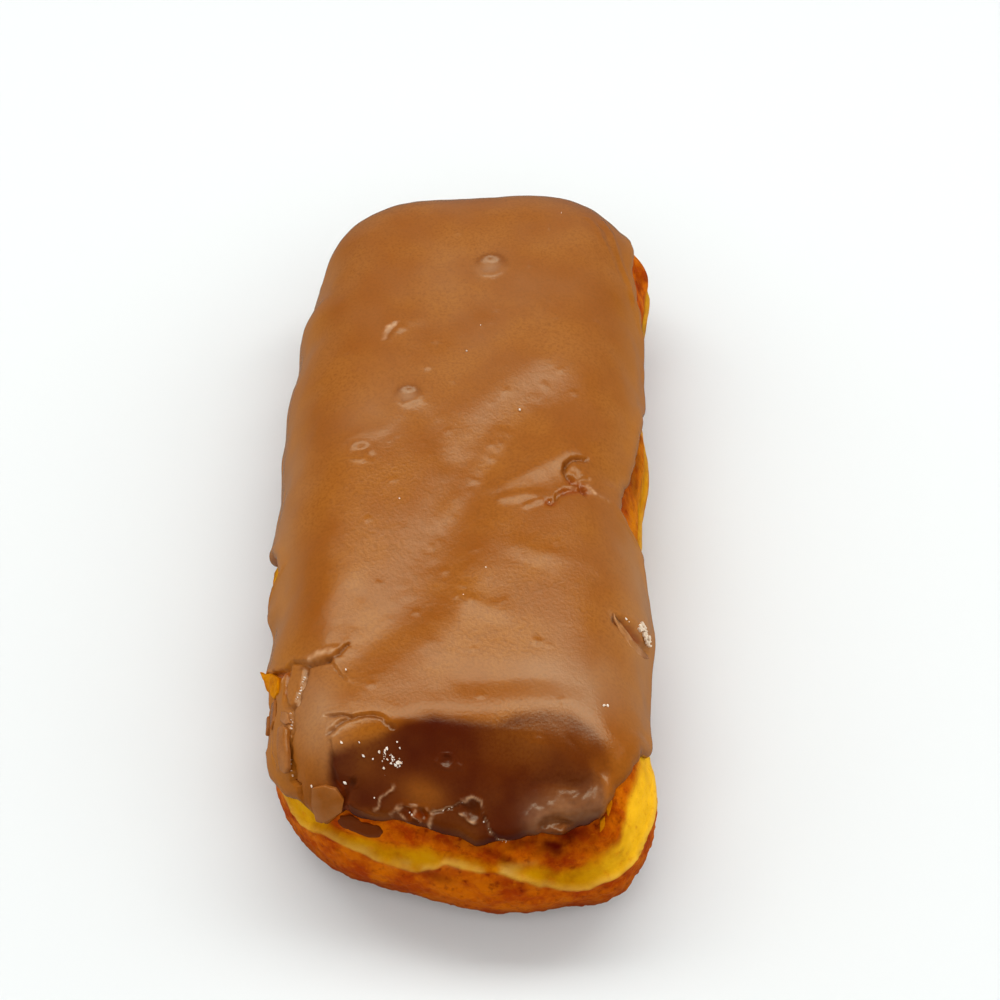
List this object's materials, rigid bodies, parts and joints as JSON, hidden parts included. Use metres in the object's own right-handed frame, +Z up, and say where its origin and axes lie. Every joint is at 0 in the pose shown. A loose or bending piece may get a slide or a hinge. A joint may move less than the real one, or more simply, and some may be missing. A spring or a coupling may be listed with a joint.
{
  "type": "long john doughnut",
  "caption": "Bar-shaped raised doughnut with rounded ends and a pale seam round its side, topped with a cap of smooth brown icing.",
  "frame": {"origin": "centre of the bounding box at the flat underside", "axes": "+Y along the bar from the near end, where the icing stops short, to the far end; +X to the right; +Z up"},
  "size_m": [0.0808, 0.1808, 0.0408],
  "materials": {
    "fried_dough": "soft fried crust, golden brown with a pale yellow seam",
    "brown_icing": "satin set icing, caramel brown"
  },
  "bodies": {
    "root": {"dough": "fried_dough", "icing": "brown_icing"}
  },
  "joints": []
}
